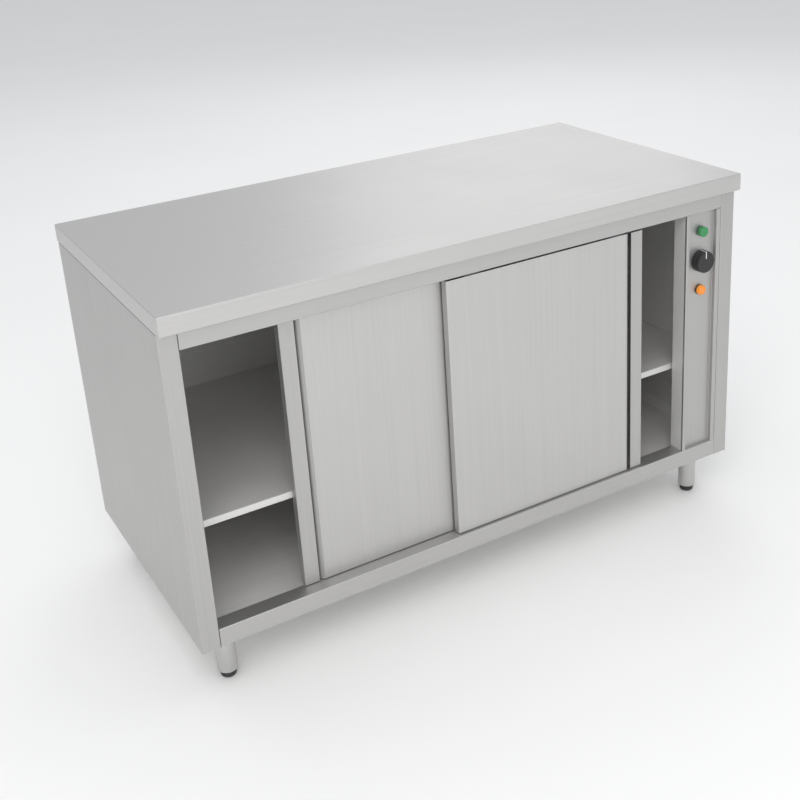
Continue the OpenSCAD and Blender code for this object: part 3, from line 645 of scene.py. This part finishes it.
# %% [markdown]
# ## Front rails
#
# The top rail hides the door track. The bottom rail ends in a deep ledge under the doors. Both are long
# folded channels between the posts, brushed along their length. They stop a little short of the posts,
# because such a joint shows as a fine dark line.

# %% Rails
rail_low, rail_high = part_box("top_rail")
rail_sheet = 1.2 * MM
rail_lip = 6 * MM
seam = 0.7 * MM
outline = [
    (rail_low.y + rail_lip, rail_low.z),
    (rail_low.y, rail_low.z),
    (rail_low.y, rail_high.z),
    (rail_high.y, rail_high.z),
]
shape = bmesh.new()
start = rail_low.x + seam
run = (rail_high.x - rail_low.x - 2 * seam, 0, 0)
folded(shape, [(start, y, z) for y, z in outline], run, -Z, rail_sheet)
replacement("top_rail_folded", shape, steel_along, "top_rail")

ledge_low, ledge_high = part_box("bottom_rail")
ledge_lip = 15 * MM
outline = [
    (ledge_low.y + ledge_lip, ledge_low.z),
    (ledge_low.y, ledge_low.z),
    (ledge_low.y, ledge_high.z),
    (ledge_high.y, ledge_high.z),
    (ledge_high.y, ledge_low.z + skin),
]
shape = bmesh.new()
folded(shape, [(start, y, z) for y, z in outline], run, -Z, rail_sheet)
replacement("bottom_rail_folded", shape, steel_along, "bottom_rail")

# %% [markdown]
# ## Floor pan and shelf
#
# Spilled water stays in the floor pan, because its sides and back are turned up. The shelf is a tray the
# other way up, with its rim turned in, which makes it stiff and safe to touch. Two folded channels under
# it, which sheet metal workers call hats, keep it from sagging.

# %% Pan and shelf
shape = bmesh.new()
tray(shape, *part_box("floor_pan"), [Z, -Y], rail_sheet, radius=3 * MM)
# The floor pan's pale steel is painted light for the dark inside of the cupboard.
replacement("floor_pan_folded", shape, steel_tray_painted_light, "floor_pan")

shape = bmesh.new()
shelf_low, shelf_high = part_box("shelf")
shelf_hem = 12 * MM
tray(shape, shelf_low, shelf_high, [-Z], rail_sheet, radius=2 * MM, hem=shelf_hem)
hat_width = 50 * MM
hat_low = shelf_low.z + rail_sheet
hat_high = shelf_high.z - rail_sheet
start = shelf_low.x + rail_sheet
run = (shelf_high.x - shelf_low.x - 2 * rail_sheet, 0, 0)
for share in (1 / 3, 2 / 3):
    y = shelf_low.y + (shelf_high.y - shelf_low.y) * share
    y0, y1 = y - hat_width / 2, y + hat_width / 2
    hat = [(y0, hat_high), (y0, hat_low), (y1, hat_low), (y1, hat_high)]
    folded(shape, [(start, *point) for point in hat], run, -Y, rail_sheet)
# The shelf's brightened steel is painted light for the dark inside of the cupboard.
replacement("shelf_folded", shape, steel_shelf_painted_light, "shelf")

# %% [markdown]
# ## Control column
#
# The column has a narrow strip at each side and a panel set back between them, so that a passing trolley
# can't knock the controls. Strips, steps and panel are one sheet, folded six times. The box behind it
# keeps the wiring dry.

# %% Column
column_low, column_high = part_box("control_housing")
fascia_low, fascia_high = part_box("control_fascia")
left_strip = 9.7 * MM
right_strip = 13 * MM
panel_set = 10 * MM
return_depth = 6 * MM
front = fascia_low.y
panel_front = front + panel_set
panel_left = fascia_low.x + left_strip
panel_right = fascia_high.x - right_strip
plan = [
    (fascia_low.x, front + return_depth),
    (fascia_low.x, front),
    (panel_left, front),
    (panel_left, panel_front),
    (panel_right, panel_front),
    (panel_right, front),
    (fascia_high.x - seam, front),
    (fascia_high.x - seam, front + return_depth),
]
rise = (0, 0, fascia_high.z - fascia_low.z)
shape = bmesh.new()
folded(shape, [(x, y, fascia_low.z) for x, y in plan], rise, -X, skin, radius=1.5 * MM)
replacement("control_fascia_folded", shape, steel_upright, "control_fascia")

plan = [
    (column_low.x, front + return_depth),
    (column_low.x, column_high.y),
    (column_high.x, column_high.y),
    (column_high.x, front + return_depth),
]
shape = bmesh.new()
folded(shape, [(x, y, column_low.z) for x, y in plan], rise, -X, skin)
x0, x1 = column_low.x + skin, column_high.x - skin
y0, y1 = panel_front + skin, column_high.y - skin
for z in (column_low.z, column_high.z - skin):
    block(shape, (x0, y0, z), (x1, y1, z + skin))
# The housing takes the brightened inner steel, which is painted light.
replacement("control_housing_folded", shape, steel_inside_painted_light, "control_housing")

# %% [markdown]
# ## Knob
#
# A black moulded knob with a white pointer. Its outline is turned on the lathe tool with a slight taper,
# as a mould needs. Fine ribs round its side give grip. They are less than a millimetre deep, so the
# material presses them in: a sine of the angle round the knob's middle. The pointer is a line of paint
# that runs over the face and down the side, so the material draws it too, where three masks overlap.

# %% Knob
def ribbed_plastic(node, ribs):
    low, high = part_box(node)
    middle = (low + high) / 2
    plain_rim = 1.6 * MM
    line_half = 1.2 * MM
    line_start = 9 * MM
    finish = Finish("ribbed black plastic")
    out = finish.place(centre=tuple(middle))
    parts = finish.node("SeparateXYZ", None, {0: out})
    across = Number(finish, parts.outputs["X"])
    up = Number(finish, parts.outputs["Z"])
    angle = across.work_out("ARCTAN2", up, across)
    rib = (angle * ribs).sine()
    on_side = finish.from_axis(out) > (high.x - low.x) / 2 - plain_rim
    line = (across > -line_half) * (1 - (across > line_half)) * (up > line_start)
    pores = finish.noise((2200, 2200, 2200))
    wear = finish.noise((40, 40, 40), detail=4.0)
    black = finish.mix(0.5 * wear, (0.016, 0.016, 0.017, 1), (0.032, 0.032, 0.034, 1))
    return finish.paint(
        Base_Color=finish.mix(line, black, (0.8, 0.8, 0.78, 1)),
        Roughness=0.34 + 0.14 * wear + 0.06 * pores,
        Normal=finish.bump(on_side * (1 - line) * rib * 4 + 0.2 * pores, 0.1 * MM),
    )


knob_low, knob_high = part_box("thermostat_knob")
knob_middle = front_middle(knob_low, knob_high, knob_high.y)
knob_radius = (knob_high.x - knob_low.x) / 2
knob_length = knob_high.y - knob_low.y
taper = 0.6 * MM
outline = [(0, 0), (knob_radius, 0), (knob_radius - taper, knob_length), (0, knob_length)]
shape = bmesh.new()
turned(shape, outline, knob_middle, -Y, steps=96, radius=2 * MM, rounds=4)
replacement("knob_turned", shape, ribbed_plastic("thermostat_knob", 60), "thermostat_knob")

# %% [markdown]
# ## Push button and pilot lamp
#
# The button's cap is slightly hollow in front, which centres a fingertip. The lamp has a black bezel and
# an amber lens with a soft edge.

# %% Button and lamp
cap_low, cap_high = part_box("power_button")
cap_radius = (cap_high.x - cap_low.x) / 2
cap_middle = front_middle(cap_low, cap_high, cap_low.y)
travel = 3 * MM
cap_gap = 0.3 * MM
cap_depth = panel_front - travel - cap_gap - cap_low.y
cap_wall = 1.8 * MM
button_stem = 4 * MM
stem_end = cap_high.y - cap_low.y
outline = [
    (0, 0.5 * MM),
    (cap_radius * 0.72, 0.15 * MM),
    (cap_radius * 0.86, 0),
    (cap_radius, 0),
    (cap_radius, cap_depth),
    (cap_radius - cap_wall, cap_depth),
    (cap_radius - cap_wall, cap_wall),
    (button_stem, cap_wall),
    (button_stem, stem_end),
    (0, stem_end),
]
shape = bmesh.new()
turned(shape, outline, cap_middle, Y, radius=0.6 * MM)
replacement("button_cap", shape, green_plastic, "power_button")

lens_low, lens_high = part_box("lamp_lens")
lens_radius = (lens_high.x - lens_low.x) / 2
lens_middle = front_middle(lens_low, lens_high, lens_low.y)
bezel = 4 * MM
lens_height = panel_front - bezel - lens_low.y
stub_radius = 5.7 * MM
outline = [
    (0, 0),
    (lens_radius * 0.55, 0.3 * MM),
    (lens_radius * 0.85, 1.4 * MM),
    (lens_radius * 0.97, 3.2 * MM),
    (lens_radius * 0.97, lens_height),
    (stub_radius, lens_height),
    (stub_radius, lens_height + bezel),
    (0, lens_height + bezel),
]
shape = bmesh.new()
turned(shape, outline, lens_middle, Y)
replacement("lamp_lens_turned", shape, amber, "lamp_lens", angle=50)

holder_low, holder_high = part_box("lamp_holder")
holder_bore = 6 * MM
hole_radius = 8 * MM
body_radius = 12 * MM
holder_length = holder_high.y - holder_low.y
outline = [
    (holder_bore, 0),
    (lens_radius, 0),
    (lens_radius, bezel),
    (hole_radius, bezel),
    (hole_radius, bezel + skin),
    (body_radius, bezel + skin),
    (body_radius, holder_length),
    (holder_bore, holder_length),
]
holder_middle = Vector((lens_middle.x, holder_low.y, lens_middle.z))
shape = bmesh.new()
turned(shape, outline, holder_middle, Y, radius=0.6 * MM)
replacement("lamp_holder_turned", shape, black_plastic, "lamp_holder")

# %% [markdown]
# ## Doors
#
# Each door is a shallow box of two sheets with wool between them. Its front sheet is folded back at the
# far edge. At the other edge a second sheet makes the grip: a lip, the door's edge, a flat back for the
# fingers and a slant up to the face. It takes the darker steel of the posts, which paints shade into the
# recess, so that it stands out from the face. The left door is drawn, and the right door is its mirror
# image, so one function takes the place of the grip's edge and the direction away from it.

# %% Doors
lip_width = 33 * MM
grip_width = 46 * MM
door_sheet = 1.2 * MM
slot_width = 6 * MM
slant_run = 1.25  # how far the slant goes sideways for each step back


def door(name, edge, away):
    """Dresses the door whose grip starts at x = edge and whose face goes away from there."""
    low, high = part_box(name + "_liner")
    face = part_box(name + "_skin")[0].y
    depth = high.y - skin - face
    width = high.x - low.x
    height = high.z - low.z
    slot = (high.y - face - slot_width) / 2
    rise = (0, 0, height)

    def at(x, y, z=0):
        return Vector((edge + away * x, face + y, low.z + z))

    plan = [at(grip_width, 0), at(width, 0), at(width, depth)]
    shape = bmesh.new()
    folded(shape, plan, rise, -Y, skin, radius=2.5 * MM)
    for z in (0, height - skin):
        a = at(grip_width + skin, skin, z)
        b = at(width - skin, slot, z + skin)
        block(shape, (min(a.x, b.x), a.y, a.z), (max(a.x, b.x), b.y, b.z), plate_ease)
    replacement(name + "_face_folded", shape, steel_door, name + "_skin")

    slant = grip_width - (depth - door_sheet - skin) * slant_run
    plan = [at(lip_width, 0), at(0, 0), at(0, depth), at(slant, depth), at(grip_width, 0)]
    shape = bmesh.new()
    folded(shape, plan, rise, -Y, door_sheet, radius=2 * MM)
    # The grip's darker steel is painted shade for the recess.
    replacement(name + "_grip_folded", shape, steel_upright, name + "_grip")


door("door_left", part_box("door_left_grip")[0].x, 1)
door("door_right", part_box("door_right_grip")[1].x, -1)

# %% [markdown]
# ## Door rollers
#
# Each door hangs on two pairs of nylon wheels. A wheel has a bore, a hub, a thinner web and a tyre with
# soft edges.

# %% Rollers
def wheel(shape, low, high, bore):
    radius = (high.z - low.z) / 2
    width = high.y - low.y
    groove = 0.9 * MM
    hub = bore + 1.4 * MM
    tyre = radius - 1.6 * MM
    outline = [
        (bore, 0),
        (hub, 0),
        (hub, groove),
        (tyre, groove),
        (tyre, 0),
        (radius, 0),
        (radius, width),
        (tyre, width),
        (tyre, width - groove),
        (hub, width - groove),
        (hub, width),
        (bore, width),
    ]
    turned(shape, outline, front_middle(low, high, low.y), Y, steps=48, radius=0.3 * MM, rounds=2)


wheel_width = 5.5 * MM
axle_bore = 2.05 * MM
for node in ("roller_left_a", "roller_left_b", "roller_right_a", "roller_right_b"):
    low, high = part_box(node)
    shape = bmesh.new()
    wheel(shape, low, Vector((high.x, low.y + wheel_width, high.z)), axle_bore)
    wheel(shape, Vector((low.x, high.y - wheel_width, low.z)), high, axle_bore)
    replacement(node + "_turned", shape, nylon, node)

# %% [markdown]
# ## Legs
#
# A leg is a tube welded to a square plate, with four bolts. A plastic insert closes its lower end, and
# the foot screws into the insert. The weld bead is a thin ring round the top of the tube.

# %% Legs and bolts
foot_nodes = ["foot_front_left", "foot_front_right", "foot_back_left", "foot_back_right"]
leg_middles = [sum(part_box(node), Vector()) / 2 for node in foot_nodes]
tube_low, tube_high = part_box("leg_tubes")
plate_low, plate_high = (corner.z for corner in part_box("leg_plates"))
tube_radius = 21.3 * MM
tube_wall = 1.5 * MM
tube_bore = tube_radius - tube_wall
tube_length = tube_high.z - tube_low.z
plate_half = Vector((48 * MM, 48 * MM, 0))
tube_outline = [(tube_bore, 0), (tube_radius, 0), (tube_radius, tube_length), (tube_bore, tube_length)]
bead_inside = tube_radius - 0.5 * MM
bead_outline = [
    (bead_inside, tube_length - 3.2 * MM),
    (tube_radius + 0.6 * MM, tube_length - 2.6 * MM),
    (tube_radius + 2.4 * MM, tube_length - 1.0 * MM),
    (tube_radius + 3 * MM, tube_length),
    (bead_inside, tube_length),
]
plates = bmesh.new()
tubes = bmesh.new()
beads = bmesh.new()
for middle in leg_middles:
    under = Vector((middle.x, middle.y, plate_low))
    over = Vector((middle.x, middle.y, plate_high))
    block(plates, under - plate_half, over + plate_half, radius=0.6 * MM)
    spot = Vector((middle.x, middle.y, tube_low.z))
    turned(tubes, tube_outline, spot, Z, radius=0.4 * MM, rounds=2)
    turned(beads, bead_outline, spot, Z)
replacement("leg_plates_eased", plates, tube_steel, "leg_plates")
replacement("leg_tubes_turned", tubes, tube_steel, "leg_tubes")
piece("leg_welds", beads, weld_steel, "leg_plates")

bolt_low, bolt_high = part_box("leg_bolts")
bolt_half = 37 * MM
bolt_radius = 4 * MM
head_height = plate_low - bolt_low.z
nut_height = 6.5 * MM
nut_across = 13.6 * MM
nut_seat = bolt_high.z - nut_height
shank = nut_seat - plate_low
outline = [(0, 0), (bolt_radius, 0), (bolt_radius, shank), (0, shank)]
shape = bmesh.new()
for middle in leg_middles:
    for x in (-bolt_half, bolt_half):
        for y in (-bolt_half, bolt_half):
            spot = Vector((middle.x + x, middle.y + y, plate_low))
            hexagon(shape, spot, -Z, nut_across, head_height)
            hexagon(shape, Vector((spot.x, spot.y, nut_seat)), Z, nut_across, nut_height)
            turned(shape, outline, spot, Z, steps=24)
replacement("leg_bolts_hexagon", shape, zinc, "leg_bolts")

# %% Inserts and feet
insert_low, insert_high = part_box("leg_inserts")
insert_length = insert_high.z - insert_low.z
cone_height = 5 * MM
cone_radius = 16.5 * MM
foot_stem = 5 * MM
insert_bore = foot_stem + 0.05 * MM
outline = [
    (insert_bore, 0),
    (cone_radius, 0),
    (tube_radius, cone_height),
    (tube_bore, cone_height),
    (tube_bore, insert_length),
    (insert_bore, insert_length),
]
shape = bmesh.new()
for middle in leg_middles:
    spot = Vector((middle.x, middle.y, insert_low.z))
    turned(shape, outline, spot, Z, radius=0.5 * MM, rounds=2)
replacement("leg_inserts_turned", shape, foot_plastic, "leg_inserts")

foot_height = 11.7 * MM
rim_ease = 0.8 * MM
stem_chamfer = 1 * MM
for node, middle in zip(foot_nodes, leg_middles):
    low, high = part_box(node)
    foot_radius = (high.x - low.x) / 2
    stem_top = high.z - low.z
    spot = Vector((middle.x, middle.y, low.z))
    outline = [
        (0, 0.6 * MM),
        (foot_radius * 0.45, 0.6 * MM),
        (foot_radius * 0.5, 0),
        (foot_radius - 6 * MM, 0),
        (foot_radius - 3 * MM, 0.8 * MM),
        (foot_radius - rim_ease, 3 * MM),
        (foot_radius, 6 * MM),
        (foot_radius, foot_height - rim_ease),
        (foot_radius - rim_ease, foot_height),
        (foot_stem, foot_height),
        (foot_stem, stem_top - stem_chamfer),
        (foot_stem - stem_chamfer, stem_top),
        (0, stem_top),
    ]
    shape = bmesh.new()
    turned(shape, outline, spot, Z)
    replacement(node + "_turned", shape, foot_plastic, node)

# %% [markdown]
# ## Cable gland
#
# The supply cord enters through a gland at the back. Its outer nut is a hexagon that ends in a dome, with
# a rubber seal round the bore. No cord is drawn, because the reference shows none.

# %% Gland
gland_low, gland_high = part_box("cable_gland")
cord_radius = 4 * MM
seal_radius = cord_radius + 1.5 * MM
thread_radius = 6 * MM
dome_radius = (gland_high.z - gland_low.z) / 2
seat = front_middle(gland_low, gland_high, back_high.y)
nut_part = 4.5 * MM
reach = gland_high.y - seat.y
shape = bmesh.new()
hexagon(shape, seat, Y, 2 * dome_radius, nut_part)
outline = [
    (seal_radius, nut_part),
    (dome_radius * 0.84, nut_part),
    (dome_radius * 0.8, nut_part + 2 * MM),
    (dome_radius * 0.66, reach - 0.3 * MM),
    (cord_radius + 2.4 * MM, reach),
    (seal_radius, reach),
]
turned(shape, outline, seat, Y)
inside = seat.y - gland_low.y
outline = [(cord_radius, -inside), (thread_radius, -inside), (thread_radius, 0), (cord_radius, 0)]
turned(shape, outline, seat, Y)
replacement("cable_gland_moulded", shape, black_plastic, "cable_gland")
shape = bmesh.new()
seal_end = reach - 0.6 * MM
outline = [(cord_radius, 0), (seal_radius, 0), (seal_radius, seal_end), (cord_radius, seal_end)]
turned(shape, outline, seat, Y, radius=0.2 * MM)
piece("cable_gland_seal", shape, rubber, "cable_gland")

# %% [markdown]
# ## Floor and light
#
# A plain pale floor and four soft lights, as in a product studio. Steel shows what it reflects. The key
# light hangs high in front, so that the worktop doesn't mirror it in views from low behind. A low fill
# light reaches into the openings. A wide light overhead gives the floor its tone, and one behind on the
# right lays a gradient over the worktop. All are large and dim, because a small bright light would leave
# a burnt white patch in the steel.
#
# The Standard view transform keeps the pale floor pale. The default one, AgX, would turn it grey.

# %% Studio
def pale_floor():
    finish = Finish("pale studio floor")
    cloud = finish.noise((1.5, 1.5, 1.5), detail=5.0)
    return finish.paint(
        Base_Color=finish.mix(cloud, (0.91, 0.91, 0.905, 1), (0.94, 0.94, 0.935, 1)),
        Roughness=0.6 + 0.1 * cloud,
    )


floor_half = 30
floor_mesh = bpy.data.meshes.new("floor")
shape = bmesh.new()
bmesh.ops.create_grid(shape, x_segments=1, y_segments=1, size=floor_half)
shape.to_mesh(floor_mesh)
shape.free()
floor = bpy.data.objects.new("floor", floor_mesh)
bpy.context.scene.collection.objects.link(floor)
floor_mesh.materials.append(pale_floor())

world = bpy.data.worlds.new("studio")
bpy.context.scene.world = world
world.use_nodes = True
sky = world.node_tree.nodes["Background"]
sky.inputs["Color"].default_value = (0.97, 0.98, 1.0, 1)
sky.inputs["Strength"].default_value = 0.65
bpy.context.scene.view_settings.view_transform = "Standard"


def soft_light(name, place, target, size, power, colour=(1, 1, 1)):
    """A rectangle of light of some metres, aimed at a target."""
    lamp = bpy.data.lights.new(name, "AREA")
    lamp.shape = "RECTANGLE"
    lamp.size, lamp.size_y = size
    lamp.energy = power
    lamp.color = colour
    made = bpy.data.objects.new(name, lamp)
    bpy.context.scene.collection.objects.link(made)
    made.location = place
    made.rotation_euler = (Vector(target) - Vector(place)).to_track_quat("-Z", "Y").to_euler()


warm_white = (1, 0.985, 0.96)
cool_white = (0.98, 0.985, 1)
soft_light("key light", (-2.4, -3.6, 4.3), (0, 0, 0.4), size=(3.6, 2.6), power=105, colour=warm_white)
soft_light("fill light", (0.8, -6.0, 1.9), (0, 0, 0.5), size=(6.0, 3.0), power=48)
soft_light("overhead light", (0, 0.6, 6.0), (0, 0, 0), size=(8.0, 8.0), power=110, colour=cool_white)
soft_light("back light", (3.4, 4.4, 3.2), (0.3, 0, 0.6), size=(3.0, 2.0), power=20)
print("studio: four soft lights and a pale floor")
